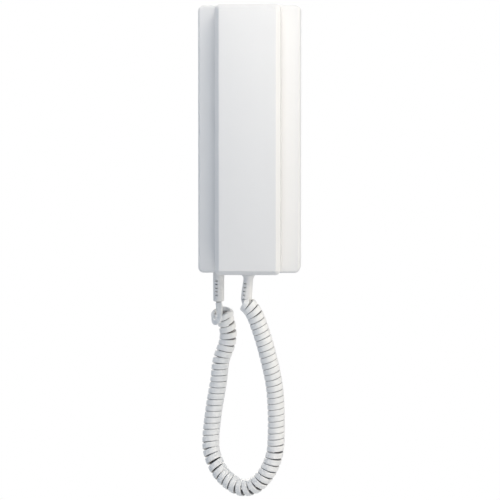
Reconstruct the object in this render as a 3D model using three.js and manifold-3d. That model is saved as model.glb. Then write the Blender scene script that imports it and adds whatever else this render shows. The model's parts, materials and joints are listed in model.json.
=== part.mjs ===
// Slimline wall phone: a flat base that hangs on a wall bracket, a handset seated in two wells of the
// base, and a curly cord hanging in a loop between them. Millimetres, +Z up, the wall is the plane
// y = 0 and -Y points into the room. The origin is the centre of the face that meets the wall.
import * as THREE from 'three';
import { ConvexGeometry } from 'three/addons/geometries/ConvexGeometry.js';
import { mergeVertices } from 'three/addons/utils/BufferGeometryUtils.js';
import Module from 'manifold-3d';

const wasm = await Module();
wasm.setup();

// Driving dimensions.
const GAP = 0.3; // clearance between pieces that touch
const WALL = 2.2; // moulded wall thickness

const BASE_HALF_WIDTH = 40;
const BASE_HALF_HEIGHT = 105;
const BASE_CORNER = 4.3;
const BASE_EDGE = 2; // rounding of the front rim
const BASE_FRONT = -30;
const BASE_SPLIT = -8; // front cover meets rear housing
const HOUSING_FLOOR = -5.7; // wall-side face of the rear housing's floor

const HANDSET_HALF_WIDTH = 25.4;
const HANDSET_HALF_HEIGHT = 105.3;
const HANDSET_CORNER = 3.8;
const HANDSET_CHAMFER = 3.4; // slope round the front face
const HANDSET_FRONT = -56;
const HANDSET_SPLIT = -44; // front shell meets rear shell
const HANDSET_REAR = -30.6;

const CUP_DEPTH = 10; // how far the ear and mouth cups enter their wells
const CUP_CENTRE = 72.5; // the cups' root outlines are centred this far above and below the middle
const CUP_SLOPE = 10; // rise of a cup's upper side over its depth, so that the handset can lift out
const WELL_CLEARANCE = 1.2;
const WELL_WALL = 2;
const WELL_FLOOR = -19;

const KEY_PITCH_X = 12.5;
const KEY_PITCH_Z = 15;
const KEY_WIDTH = 9.6;
const KEY_HEIGHT = 10.2;
const KEY_TOP = -31.2;
const KEY_SEAT = -35.5;
const KEY_FOOT = -37;
const KEY_NAMES = ['1', '2', '3', '4', '5', '6', '7', '8', '9', 'star', '0', 'hash'];

const BRACKET_THICKNESS = 1.2;
const BRACKET_HALF_WIDTH = 24;
const BRACKET_HALF_HEIGHT = 62;
const WALL_SCREW_HALF_SPACING = 41.75; // a standard single wall box
const CABLE_WINDOW = { halfWidth: 9, low: -34, high: -16 };

const COVER_SCREWS = [[-32.5, 92], [32.5, 92], [-32.5, -92], [32.5, -92]];
const HANDSET_SCREW_Z = 40.5;
const PLUNGER = { x: 16, z: 39, radius: 3 };
const RINGER_SWITCH = { y: -19, z: -24, travel: 8 };

const BASE_BOOT = { x: -24.5, y: -19, end: -128.2, radius: 4.3 };
const HANDSET_BOOT = { x: 0.3, y: -43.85, radius: 4.2 };

const CORD_DIAMETER = 4.6;
const COIL_DIAMETER = 13.1;
const COIL_SIDES = 10;
const COIL_STEPS = 60;

// The middle line of the coiled stretch, from the base side round the loop to the handset.
const COIL_ROUTE = [
  [-21.6, -21.9, -134.9], [-20.4, -19.9, -138.6], [-18.6, -17.4, -144.6], [-17.2, -15.8, -152.6],
  [-18.1, -15, -161.4], [-22.4, -14.6, -173.6], [-24.6, -14, -189.3], [-27.2, -13.5, -204.9],
  [-29.5, -13.5, -220.6], [-31, -14, -236.2], [-30.9, -14.8, -244.5], [-28.2, -16.2, -254.8],
  [-23, -18, -264.2], [-15.2, -20.5, -271.4], [-6.4, -23, -275.4], [2.2, -25.5, -274.2],
  [10.2, -27.8, -268], [16.9, -29.6, -257.4], [20.5, -30.8, -246.4], [21.5, -31.8, -235.2],
  [21.7, -33, -219.5], [21.2, -34.6, -203.8], [19.5, -36.6, -188.1], [16.1, -38.8, -172.2],
  [12.1, -41, -156.5], [7.5, -43, -142.4], [4.9, -43.9, -135.9], [2.4, -44.25, -132],
  [-0.33, -44.3, -128.9],
];
const TAIL_ROUTE = [
  [-24.4, -19.2, -129.2], [-24.3, -20.0, -131.1], [-24.1, -20.9, -133.2],
];

// The handset's boot hangs out of the housing and leans left, towards the top of the coil.
const HANDSET_BOOT_ROUTE = [
  [0.3, -43.85, -107.5], [0.05, -43.85, -110], [-0.43, -43.85, -114.9], [-0.85, -43.9, -119.8],
  [-1.2, -43.95, -123], [-1, -44, -125.6],
];

const MATERIALS = {
  shell: { color: 0xe9e9e8, roughness: 0.35, metalness: 0 },
  key: { color: 0xdcdcda, roughness: 0.45, metalness: 0 },
  cord: { color: 0xe4e4e2, roughness: 0.45, metalness: 0 },
  boot: { color: 0xc9c9c7, roughness: 0.6, metalness: 0 },
  rubber: { color: 0x3a3a3c, roughness: 0.85, metalness: 0 },
  board: { color: 0x2f6b3c, roughness: 0.5, metalness: 0 },
  dark: { color: 0x222326, roughness: 0.4, metalness: 0 },
  zinc: { color: 0xb9bcc0, roughness: 0.35, metalness: 1 },
  brass: { color: 0xc8a24e, roughness: 0.35, metalness: 1 },
};
for (const name of Object.keys(MATERIALS)) {
  MATERIALS[name] = new THREE.MeshStandardMaterial(MATERIALS[name]);
}

// Geometry to solid and back.
function positionsOnly(geometry) {
  const bare = geometry.clone();
  bare.deleteAttribute('normal');
  bare.deleteAttribute('uv');
  return mergeVertices(bare, 1e-4);
}

function solid(geometry) {
  const merged = positionsOnly(geometry);
  return new wasm.Manifold(new wasm.Mesh({
    numProp: 3,
    vertProperties: new Float32Array(merged.attributes.position.array),
    triVerts: new Uint32Array(merged.index.array),
  }));
}

function meshGeometry(body) {
  const mesh = body.getMesh();
  const geometry = new THREE.BufferGeometry();
  geometry.setAttribute('position', new THREE.BufferAttribute(mesh.vertProperties, 3));
  geometry.setIndex(new THREE.BufferAttribute(mesh.triVerts, 1));
  geometry.computeVertexNormals();
  return geometry;
}

function mesh(name, body, materialName) {
  const made = new THREE.Mesh(meshGeometry(body), MATERIALS[materialName]);
  made.name = name;
  return made;
}

// Basic solids.
function box([x0, x1], [y0, y1], [z0, z1]) {
  const geometry = new THREE.BoxGeometry(x1 - x0, y1 - y0, z1 - z0);
  return solid(geometry.translate((x0 + x1) / 2, (y0 + y1) / 2, (z0 + z1) / 2));
}

function roundedOutline(halfWidth, halfHeight, radius) {
  const outline = new THREE.Shape();
  outline.absarc(halfWidth - radius, halfHeight - radius, radius, 0, Math.PI / 2);
  outline.absarc(radius - halfWidth, halfHeight - radius, radius, Math.PI / 2, Math.PI);
  outline.absarc(radius - halfWidth, radius - halfHeight, radius, Math.PI, 1.5 * Math.PI);
  outline.absarc(halfWidth - radius, radius - halfHeight, radius, 1.5 * Math.PI, 2 * Math.PI);
  return outline;
}

// A rounded rectangle standing in the XZ plane, from yBack towards the room to yFront. Its rims are
// rounded off by edge, or sloped where rounds is 1.
function slab(halfWidth, halfHeight, radius, yFront, yBack, { edge = 0, rounds = 3, arcs = 4 } = {}) {
  const geometry = new THREE.ExtrudeGeometry(roundedOutline(halfWidth, halfHeight, radius), {
    depth: yBack - yFront - 2 * edge,
    curveSegments: arcs,
    bevelEnabled: edge > 0,
    bevelThickness: edge,
    bevelSize: edge,
    bevelOffset: -edge,
    bevelSegments: rounds,
  });
  return solid(geometry.rotateX(Math.PI / 2).translate(0, yBack - edge, 0));
}

// The same with only its room-side rim eased, or only its wall-side rim.
function frontEased(halfWidth, halfHeight, radius, yFront, yBack, edge, rounds = 3) {
  const overlong = slab(halfWidth, halfHeight, radius, yFront, yBack + 2 * edge, { edge, rounds });
  const far = 2 * halfHeight;
  return overlong.subtract(box([-far, far], [yBack, yBack + far], [-far, far]));
}

function rearEased(halfWidth, halfHeight, radius, yFront, yBack, edge) {
  const overlong = slab(halfWidth, halfHeight, radius, yFront - 2 * edge, yBack, { edge });
  const far = 2 * halfHeight;
  return overlong.subtract(box([-far, far], [yFront - far, yFront], [-far, far]));
}

// Round solids along Y (through the thickness) and along Z (hanging down).
function rod(radius, [y0, y1], x, z, sides = 12) {
  const geometry = new THREE.CylinderGeometry(radius, radius, y1 - y0, sides);
  return solid(geometry.translate(x, (y0 + y1) / 2, z));
}

function hangingRod(radius, [z0, z1], x, y, sides = 16) {
  const geometry = new THREE.CylinderGeometry(radius, radius, z1 - z0, sides);
  return solid(geometry.rotateX(Math.PI / 2).translate(x, y, (z0 + z1) / 2));
}

// profile: [radius, height] pairs, height rising, turned about Z.
function turned(profile, sides = 16) {
  const points = profile.map(([radius, height]) => new THREE.Vector2(radius, height));
  return new THREE.LatheGeometry(points, sides).rotateX(Math.PI / 2);
}

function sweep(route, diameter, sides, steps) {
  const points = route.map((point) => new THREE.Vector3(...point));
  const curve = new THREE.CatmullRomCurve3(points, false, 'centripetal');
  const section = new THREE.Shape();
  for (let side = 0; side < sides; side += 1) {
    const angle = (2 * Math.PI * side) / sides;
    const point = [(diameter / 2) * Math.cos(angle), (diameter / 2) * Math.sin(angle)];
    if (side === 0) section.moveTo(...point);
    else section.lineTo(...point);
  }
  return solid(new THREE.ExtrudeGeometry(section, { extrudePath: curve, steps }));
}

// Ear and mouth cups, and the wells that take them, are one tapered form grown or shrunk.
// Its outline is widest at the handset's rear face and its upper side slopes back.
function cupOutline(y, grow, centre) {
  const along = (y - HANDSET_REAR) / CUP_DEPTH;
  const halfWidth = 22.5 - 1.5 * along + grow;
  const low = centre - 25.5 + 2 * along - grow;
  const high = centre + 25.5 - CUP_SLOPE * along + grow;
  const outline = roundedOutline(halfWidth, (high - low) / 2, Math.max(2, 5 + grow));
  return outline.getPoints(3).map((point) => new THREE.Vector3(point.x, y, point.y + (high + low) / 2));
}

function cupForm(yFront, yBack, grow, centre) {
  return solid(new ConvexGeometry([...cupOutline(yFront, grow, centre), ...cupOutline(yBack, grow, centre)]));
}

const CUP_CENTRES = [CUP_CENTRE, -CUP_CENTRE];
const CUP_FACE = HANDSET_REAR + CUP_DEPTH;
const CUP_FACE_OFFSET = (2 - CUP_SLOPE) / 2; // the face's middle sits this far from the root's middle

// Fasteners: head towards the wall, shank towards the room.
function screw(headRadius, headThickness, shankRadius, length) {
  const head = rod(headRadius, [0, headThickness], 0, 0, 12);
  const shank = rod(shankRadius, [-length, headThickness / 2], 0, 0, 8);
  const slot = box([-headRadius, headRadius], [headThickness * 0.6, headThickness * 2], [-0.4, 0.4]);
  const crossSlot = box([-0.4, 0.4], [headThickness * 0.6, headThickness * 2], [-headRadius, headRadius]);
  return head.add(shank).subtract(slot).subtract(crossSlot);
}

// Base.
function wallBracket() {
  const holdBehind = HOUSING_FLOOR - WALL - GAP;
  let bracket = slab(BRACKET_HALF_WIDTH, BRACKET_HALF_HEIGHT, 3, -BRACKET_THICKNESS, 0, { arcs: 2 });
  for (const side of [-1, 1]) {
    const slotZ = side * WALL_SCREW_HALF_SPACING;
    bracket = bracket.subtract(box([-6, 6], [-3, 1], [slotZ - 2.6, slotZ + 2.6]));
  }
  const window = CABLE_WINDOW;
  bracket = bracket.subtract(box([-window.halfWidth, window.halfWidth], [-3, 1], [window.low, window.high]));
  for (const x of [-17, 17]) {
    for (const z of [53, -53]) {
      const arm = box([x - 3, x + 3], [holdBehind - BRACKET_THICKNESS, -0.6], [z, z + 1.2]);
      const hook = box([x - 3, x + 3], [holdBehind - BRACKET_THICKNESS, holdBehind], [z + 0.6, z + 5]);
      bracket = bracket.add(arm).add(hook);
    }
  }
  return bracket;
}

function rearHousing() {
  const front = BASE_SPLIT + GAP;
  let housing = slab(BASE_HALF_WIDTH, BASE_HALF_HEIGHT, BASE_CORNER, front, 0);
  const recess = [BASE_HALF_WIDTH - WALL, BASE_HALF_HEIGHT - WALL, BASE_CORNER - WALL];
  housing = housing.subtract(slab(...recess, HOUSING_FLOOR, 1));
  for (const x of [-22, 22]) {
    const rib = box([x - 1, x + 1], [HOUSING_FLOOR - 0.5, -BRACKET_THICKNESS - GAP], [-60, 60]);
    housing = housing.add(rib);
  }
  for (const x of [-27, 27]) {
    for (const z of [-12, 56]) housing = housing.add(rod(2.5, [front - 2, HOUSING_FLOOR], x, z, 10));
  }
  const window = CABLE_WINDOW;
  const reach = window.halfWidth + 1;
  housing = housing.subtract(box([-reach, reach], [-12, 2], [window.low - 1, window.high + 1]));
  for (const x of [-17, 17]) {
    for (const z of [53, -53]) {
      housing = housing.subtract(box([x - 3.4, x + 3.4], [-12, HOUSING_FLOOR + 1], [z - 0.4, z + 6.5]));
    }
  }
  for (const [x, z] of COVER_SCREWS) housing = housing.subtract(rod(1.6, [-12, 1], x, z, 10));
  return housing;
}

function frontCover() {
  const inside = BASE_FRONT + WALL;
  let cover = frontEased(BASE_HALF_WIDTH, BASE_HALF_HEIGHT, BASE_CORNER, BASE_FRONT, BASE_SPLIT, BASE_EDGE);
  cover = cover.subtract(slab(BASE_HALF_WIDTH - WALL, BASE_HALF_HEIGHT - WALL, BASE_CORNER - WALL, inside, 0));
  for (const centre of CUP_CENTRES) {
    cover = cover.add(cupForm(inside - 0.5, WELL_FLOOR + WELL_WALL, WELL_CLEARANCE + WELL_WALL, centre));
    cover = cover.subtract(cupForm(BASE_FRONT - 1, WELL_FLOOR, WELL_CLEARANCE, centre));
  }
  for (const [x, z] of COVER_SCREWS) {
    cover = cover.add(rod(3.6, [inside - 0.5, BASE_SPLIT - GAP], x, z, 12));
    cover = cover.subtract(rod(1.5, [-22, 0], x, z, 10));
  }
  for (let row = -2; row <= 2; row += 1) {
    cover = cover.subtract(box([-11, 11], [BASE_FRONT - 1, inside + 1], [5 * row - 1, 5 * row + 1]));
  }
  cover = cover.subtract(rod(PLUNGER.radius + GAP, [BASE_FRONT - 1, inside + 1], PLUNGER.x, PLUNGER.z));
  const { y, z, travel } = RINGER_SWITCH;
  const leftWall = [-BASE_HALF_WIDTH - 1, -BASE_HALF_WIDTH + WALL + 1];
  cover = cover.subtract(box(leftWall, [y - 2, y + 2], [z - 2.9 - travel, z + 2.9]));
  const bottomWall = [-BASE_HALF_HEIGHT - 1, -BASE_HALF_HEIGHT + WALL + 0.8];
  return cover.subtract(hangingRod(3.5, bottomWall, BASE_BOOT.x, BASE_BOOT.y));
}

function baseBoard() {
  let board = box([-30, 30], [-11.6, -10], [-17, 61]);
  for (const x of [-27, 27]) {
    for (const z of [-12, 56]) board = board.subtract(rod(1.2, [-13, -9], x, z, 8));
  }
  return board;
}

function sounder() {
  const shell = rod(14, [-19.5, -11.9], 0, 0, 24);
  return shell.subtract(rod(2, [-21, -16], 0, 0, 12));
}

function hookSwitch() {
  const { x, z } = PLUNGER;
  const body = box([x - 7, x + 7], [-17.6, -11.9], [z - 3.4, z + 3.4]);
  return body.subtract(box([x - 1.6, x + 1.6], [-18.6, -16], [z - 1.6, z + 1.6]));
}

function hookPlunger() {
  const { x, z, radius } = PLUNGER;
  const stem = rod(radius, [HANDSET_REAR + GAP, -18], x, z, 16);
  return stem.add(rod(3.9, [-21, -19.4], x, z, 16));
}

function terminalBlock() {
  let block = box([14, 31], [-18, BASE_SPLIT], [-40, -20]);
  for (const z of [-35, -25]) block = block.subtract(rod(3, [-20, -15], 22.5, z, 12));
  return block.subtract(rod(1.6, [-20, -11], 22.5, -35, 8)).subtract(rod(1.6, [-20, -11], 22.5, -25, 8));
}

function terminalScrew(z) {
  const head = rod(2.6, [-16.6, -15.3], 22.5, z, 12);
  return head.add(rod(1.2, [-15.8, -12], 22.5, z, 8)).subtract(box([19, 26], [-18, -16.2], [z - 0.4, z + 0.4]));
}

function ringerSwitchBody() {
  const { y, z, travel } = RINGER_SWITCH;
  return box([-34.6, -29], [y - 4.5, y + 4.5], [z - 6 - travel, z + 6]);
}

function ringerSwitchKnob() {
  const { y, z } = RINGER_SWITCH;
  let knob = box([-39.6, -36], [y - 1.6, y + 1.6], [z - 2.5, z + 2.5]);
  for (const offset of [-1.2, 0, 1.2]) {
    knob = knob.subtract(box([-40, -39.2], [y - 2, y + 2], [z + offset - 0.25, z + offset + 0.25]));
  }
  return knob.add(box([-37.4, -35], [y - 3.4, y + 3.4], [z - 4.6, z + 4.6]));
}

// Strain reliefs: a sleeve outside the housing and a flange inside it.
function baseBoot() {
  const { x, y, end, radius } = BASE_BOOT;
  const top = -BASE_HALF_HEIGHT - GAP;
  const inner = -BASE_HALF_HEIGHT + WALL;
  const profile = [
    [0, end], [radius - 0.5, end], [radius, end + 0.8], [radius, top], [3.2, top],
    [3.2, inner + GAP], [5, inner + GAP], [5, inner + 1.6], [0, inner + 1.6],
  ];
  return solid(turned(profile).translate(x, y, 0));
}

function handsetBoot() {
  const { x, y, radius } = HANDSET_BOOT;
  const top = -HANDSET_HALF_HEIGHT - GAP;
  const inner = -HANDSET_HALF_HEIGHT + WALL;
  const collar = turned([
    [0, top - 3.6], [3.8, top - 3.2], [4.2, top - 1.8], [5.3, top - 0.4], [5.3, top], [3.2, top],
    [3.2, inner + GAP], [5.2, inner + GAP], [5.2, inner + 1.6], [0, inner + 1.6],
  ]);
  return solid(collar.translate(x, y, 0)).add(sweep(HANDSET_BOOT_ROUTE, 2 * radius, 14, 8));
}

// Handset.
function cordExit() {
  const bottomWall = [-HANDSET_HALF_HEIGHT - 1, -HANDSET_HALF_HEIGHT + WALL + 0.8];
  return hangingRod(3.5, bottomWall, HANDSET_BOOT.x, HANDSET_BOOT.y);
}

function handsetFrontShell() {
  const outer = [HANDSET_HALF_WIDTH, HANDSET_HALF_HEIGHT, HANDSET_CORNER];
  const inner = [HANDSET_HALF_WIDTH - WALL, HANDSET_HALF_HEIGHT - WALL, HANDSET_CORNER - WALL];
  let shell = frontEased(...outer, HANDSET_FRONT, HANDSET_SPLIT, HANDSET_CHAMFER, 1);
  shell = shell.subtract(slab(...inner, HANDSET_FRONT + WALL, HANDSET_SPLIT + 1, { edge: 1, rounds: 1 }));
  for (const z of [-HANDSET_SCREW_Z, HANDSET_SCREW_Z]) {
    shell = shell.add(rod(3.2, [HANDSET_FRONT + WALL - 0.5, HANDSET_SPLIT], 0, z));
    shell = shell.subtract(rod(1.35, [HANDSET_FRONT + WALL + 0.6, HANDSET_SPLIT + 1], 0, z, 8));
  }
  return shell.subtract(cordExit());
}

function soundHoles(centre, rings) {
  const cut = [];
  for (const [count, ringRadius] of rings) {
    for (let index = 0; index < count; index += 1) {
      const angle = (2 * Math.PI * index) / count;
      const x = ringRadius * Math.cos(angle);
      const z = centre + CUP_FACE_OFFSET + ringRadius * Math.sin(angle);
      cut.push(rod(0.9, [CUP_FACE - 3, CUP_FACE + 1], x, z, 6));
    }
  }
  return cut;
}

function handsetRearShell() {
  const front = HANDSET_SPLIT + GAP;
  const outer = [HANDSET_HALF_WIDTH, HANDSET_HALF_HEIGHT, HANDSET_CORNER];
  const inner = [HANDSET_HALF_WIDTH - WALL, HANDSET_HALF_HEIGHT - WALL, HANDSET_CORNER - WALL];
  let shell = rearEased(...outer, front, HANDSET_REAR, 1.5);
  for (const centre of CUP_CENTRES) shell = shell.add(cupForm(HANDSET_REAR - 1, CUP_FACE, 0, centre));
  shell = shell.subtract(slab(...inner, front - 1, HANDSET_REAR - WALL));
  for (const z of [-HANDSET_SCREW_Z, HANDSET_SCREW_Z]) {
    shell = shell.add(rod(4.4, [-36, HANDSET_REAR - 1], 0, z, 14));
    shell = shell.subtract(rod(3.4, [-33.6, HANDSET_REAR + 1], 0, z, 14));
    shell = shell.subtract(rod(1.6, [-38, HANDSET_REAR + 1], 0, z, 10));
  }
  for (const centre of CUP_CENTRES) {
    shell = shell.subtract(cupForm(HANDSET_REAR - WALL - 1, CUP_FACE - 2, -2, centre));
  }
  shell = shell.subtract(slab(19.2, 31.8, 2.5, HANDSET_REAR - 4, HANDSET_REAR + 1));
  const receiverHoles = soundHoles(CUP_CENTRE, [[1, 0], [6, 4.5], [8, 9]]);
  const microphoneHoles = soundHoles(-CUP_CENTRE, [[1, 0], [4, 3.6]]);
  for (const hole of [...receiverHoles, ...microphoneHoles]) shell = shell.subtract(hole);
  return shell.subtract(cordExit());
}

function keypadPanel(keyPlaces) {
  let panel = slab(21, 33.5, 2.5, -35.2, -33.1, { arcs: 2 });
  for (const [x, z] of keyPlaces) {
    const hole = slab(KEY_WIDTH / 2 + GAP, KEY_HEIGHT / 2 + GAP, 1.2, -37, -31, { arcs: 1 });
    panel = panel.subtract(hole.translate([x, 0, z]));
  }
  return panel;
}

function keyBody() {
  const cap = slab(KEY_WIDTH / 2, KEY_HEIGHT / 2, 1.8, KEY_FOOT + 0.4, KEY_TOP, { edge: 0.6, rounds: 1, arcs: 2 });
  return cap.add(box([-5.6, 5.6], [KEY_FOOT, KEY_SEAT], [-5.8, 5.8]));
}

function keypadMembrane() {
  return slab(18.8, 31, 2, -39.5, -38.4, { arcs: 2 });
}

function handsetBoard() {
  return box([-19, 19], [-41.4, -39.8], [-34, 34]);
}

function receiverCapsule(z) {
  const shell = rod(15.5, [-34, -24.5], 0, z, 24);
  return shell.subtract(rod(3, [-26, -24], 0, z, 12));
}

function receiverGasket(z) {
  return rod(15.5, [-24.2, -22.9], 0, z, 24).subtract(rod(11.5, [-25, -22], 0, z, 24));
}

function microphoneBoot(z) {
  return rod(7, [-31, -22.9], 0, z, 20).subtract(rod(5.2, [-32, -24.4], 0, z, 16))
    .subtract(rod(2.5, [-25, -22], 0, z, 12));
}

function microphoneCapsule(z) {
  return rod(4.9, [-30, -24.7], 0, z, 16);
}

function ballastWeight() {
  return slab(13, 22, 3, -52.5, -46.5, { edge: 1, rounds: 1, arcs: 2 }).translate([0, 0, -4]);
}

function placed(part, [x, y, z]) {
  part.position.set(x, y, z);
  return part;
}

function keyPosition(index) {
  const column = index % 3;
  const row = Math.floor(index / 3);
  return [(1 - column) * KEY_PITCH_X, (1.5 - row) * KEY_PITCH_Z];
}

function makeBase() {
  const base = new THREE.Group();
  base.add(mesh('wall_bracket', wallBracket(), 'zinc'));
  base.add(mesh('base_rear_housing', rearHousing(), 'shell'));
  base.add(mesh('base_front_cover', frontCover(), 'shell'));
  base.add(mesh('base_circuit_board', baseBoard(), 'board'));
  base.add(mesh('ringer_sounder', sounder(), 'dark'));
  base.add(mesh('hook_switch', hookSwitch(), 'dark'));
  base.add(mesh('hook_plunger', hookPlunger(), 'key'));
  base.add(mesh('line_terminal_block', terminalBlock(), 'dark'));
  base.add(mesh('terminal_screw_upper', terminalScrew(-25), 'brass'));
  base.add(mesh('terminal_screw_lower', terminalScrew(-35), 'brass'));
  base.add(mesh('ringer_switch_body', ringerSwitchBody(), 'dark'));
  base.add(mesh('ringer_switch_knob', ringerSwitchKnob(), 'dark'));
  base.add(mesh('base_cord_boot', baseBoot(), 'boot'));
  COVER_SCREWS.forEach(([x, z], index) => {
    const fastener = mesh(`cover_screw_${index + 1}`, screw(2.8, 1.8, 1.2, 12), 'zinc');
    base.add(placed(fastener, [x, HOUSING_FLOOR + GAP, z]));
  });
  return base;
}

function makeHandset() {
  const handset = new THREE.Group();
  const keyPlaces = KEY_NAMES.map((name, index) => keyPosition(index));
  const earFace = CUP_CENTRE + CUP_FACE_OFFSET;
  const mouthFace = -CUP_CENTRE + CUP_FACE_OFFSET;
  handset.add(mesh('handset_front_shell', handsetFrontShell(), 'shell'));
  handset.add(mesh('handset_rear_shell', handsetRearShell(), 'shell'));
  handset.add(mesh('keypad_panel', keypadPanel(keyPlaces), 'key'));
  handset.add(mesh('keypad_membrane', keypadMembrane(), 'rubber'));
  handset.add(mesh('handset_circuit_board', handsetBoard(), 'board'));
  handset.add(mesh('receiver_capsule', receiverCapsule(earFace), 'dark'));
  handset.add(mesh('receiver_gasket', receiverGasket(earFace), 'rubber'));
  handset.add(mesh('microphone_capsule', microphoneCapsule(mouthFace), 'zinc'));
  handset.add(mesh('microphone_boot', microphoneBoot(mouthFace), 'rubber'));
  handset.add(mesh('ballast_weight', ballastWeight(), 'zinc'));
  handset.add(mesh('handset_cord_boot', handsetBoot(), 'boot'));
  for (const [label, z] of [['upper', HANDSET_SCREW_Z], ['lower', -HANDSET_SCREW_Z]]) {
    const fastener = mesh(`handset_screw_${label}`, screw(3, 1.8, 1.05, 16), 'zinc');
    handset.add(placed(fastener, [0, -33.3, z]));
  }
  const keypad = new THREE.Group();
  KEY_NAMES.forEach((name, index) => {
    const [x, z] = keyPlaces[index];
    keypad.add(placed(mesh(`key_${name}`, keyBody(), 'key'), [x, 0, z]));
  });
  handset.add(keypad);
  return handset;
}

function makeCord() {
  const cord = new THREE.Group();
  cord.add(mesh('coiled_cord', sweep(COIL_ROUTE, COIL_DIAMETER, COIL_SIDES, COIL_STEPS), 'cord'));
  cord.add(mesh('cord_tail', sweep(TAIL_ROUTE, CORD_DIAMETER, 8, 3), 'cord'));
  return cord;
}

const phone = new THREE.Group();
phone.add(makeBase(), makeHandset(), makeCord());

export default phone;
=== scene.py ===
"""Slimline wall phone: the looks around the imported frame. +Z is up and the wall is the plane y = 0.

Shapes are made in millimetres, and object_from scales them to metres.
"""

import json
import math

import bmesh
import bpy
import numpy as np
from mathutils import Matrix, Vector


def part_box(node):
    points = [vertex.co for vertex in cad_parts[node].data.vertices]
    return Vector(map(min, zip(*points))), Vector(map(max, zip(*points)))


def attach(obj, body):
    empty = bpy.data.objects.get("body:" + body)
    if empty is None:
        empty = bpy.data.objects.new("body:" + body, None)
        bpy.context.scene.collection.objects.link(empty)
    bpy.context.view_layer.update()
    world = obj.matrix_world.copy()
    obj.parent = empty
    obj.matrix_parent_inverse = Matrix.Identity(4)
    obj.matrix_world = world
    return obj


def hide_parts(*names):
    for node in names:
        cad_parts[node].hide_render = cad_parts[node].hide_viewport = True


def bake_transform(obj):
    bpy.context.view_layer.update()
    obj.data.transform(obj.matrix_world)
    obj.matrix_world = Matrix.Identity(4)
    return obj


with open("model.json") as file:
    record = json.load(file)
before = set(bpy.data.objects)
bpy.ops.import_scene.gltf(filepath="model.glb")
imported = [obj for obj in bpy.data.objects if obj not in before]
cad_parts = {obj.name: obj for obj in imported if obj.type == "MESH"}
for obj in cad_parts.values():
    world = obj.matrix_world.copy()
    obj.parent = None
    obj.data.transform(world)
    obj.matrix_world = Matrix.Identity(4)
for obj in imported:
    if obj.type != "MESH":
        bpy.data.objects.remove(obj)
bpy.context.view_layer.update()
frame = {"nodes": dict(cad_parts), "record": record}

MM = 0.001


# ---------------------------------------------------------------------------
# Sizes, in millimetres apart from the cord's routes
# ---------------------------------------------------------------------------

def extent(node):
    """Lowest and highest corner of a CAD node, in millimetres."""
    low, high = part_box(node)
    return np.array(low) / MM, np.array(high) / MM


def middle(node):
    """X and Z of the middle of a CAD node, in millimetres."""
    low, high = extent(node)
    return (low[0] + high[0]) / 2, (low[2] + high[2]) / 2


COVER_LOW, COVER_HIGH = extent("base_front_cover")
HOUSING_HIGH = extent("base_rear_housing")[1]
FRONT_LOW, FRONT_HIGH = extent("handset_front_shell")
REAR_LOW, REAR_HIGH = extent("handset_rear_shell")
COVER_SCREWS = [middle(f"cover_screw_{number}") for number in range(1, 5)]

WALL = 2.2  # thickness of the shells
OVERLAP = 0.5  # how deep an added wall sits in the shell that it joins

BASE_CORNER = 4.3  # radius of its outline's corners
BASE_EDGE = 2.0  # radius round the front face
HOUSING_FRONT = -7.7
HOUSING_FLOOR = -5.7
HOUSING_EDGE = 0.5
SWITCH_SLOT_Y = (-21, -17)  # the ringer switch's slot in the left side
SWITCH_SLOT_Z = (-34.9, -21.1)

HANDSET_CORNER = 3.9
HANDSET_CHAMFER = 3.2
HANDSET_EASE = 0.9  # radius of the chamfer's two edges
HANDSET_CROWN = 0.35  # how far the front face rises in its middle
HANDSET_REAR_EDGE = 1.5
HANDSET_SCREWS = (-40.5, 40.5)  # heights of the two screws

# The ear and mouth cups: rounded boxes on the handset's rear. Each side's slope is how far it leans
# in between the cup's foot and its face. They sit in two wells in the base.
CUP_DEPTH = 10.0
CUP_CENTRES = (72.5, -72.5)
CUP_HALF_WIDTH = 22.5
CUP_HALF_HEIGHT = 25.5
CUP_CORNER = 5
CUP_SIDE_SLOPE = 1.5
CUP_LOWER_SLOPE = 2
CUP_UPPER_SLOPE = 10.0
CUP_FACE = REAR_HIGH[1]
CUP_FACE_OFFSET = (CUP_LOWER_SLOPE - CUP_UPPER_SLOPE) / 2  # from a cup's centre to its face's
HANDSET_REAR = CUP_FACE - CUP_DEPTH
WELL_CLEARANCE = 1.2
WELL_WALL = 2.0
WELL_FLOOR = -19.0

KEYPAD_HALF_WIDTH = 19.2
KEYPAD_HALF_HEIGHT = 31.8
KEY_HALF_WIDTH = 4.8
KEY_HALF_HEIGHT = 5.1
KEY_CORNER = 1.8
KEY_FLANGE = (5.6, 5.8, 0.4)  # half width, half height and corner radius
KEY_FLANGE_TOP = -35.5
KEY_EDGE = 0.8  # radius round a key's top
KEY_DISH = 0.35  # how deep its top is hollowed
SYMBOL_SIZE = 5.6
SYMBOL_SINK = 0.3  # how far its middle lies below the key's top
SYMBOL_EXTRUDE = 0.06
STAR_SIZE = 8.0  # a star is drawn small in its font

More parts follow.
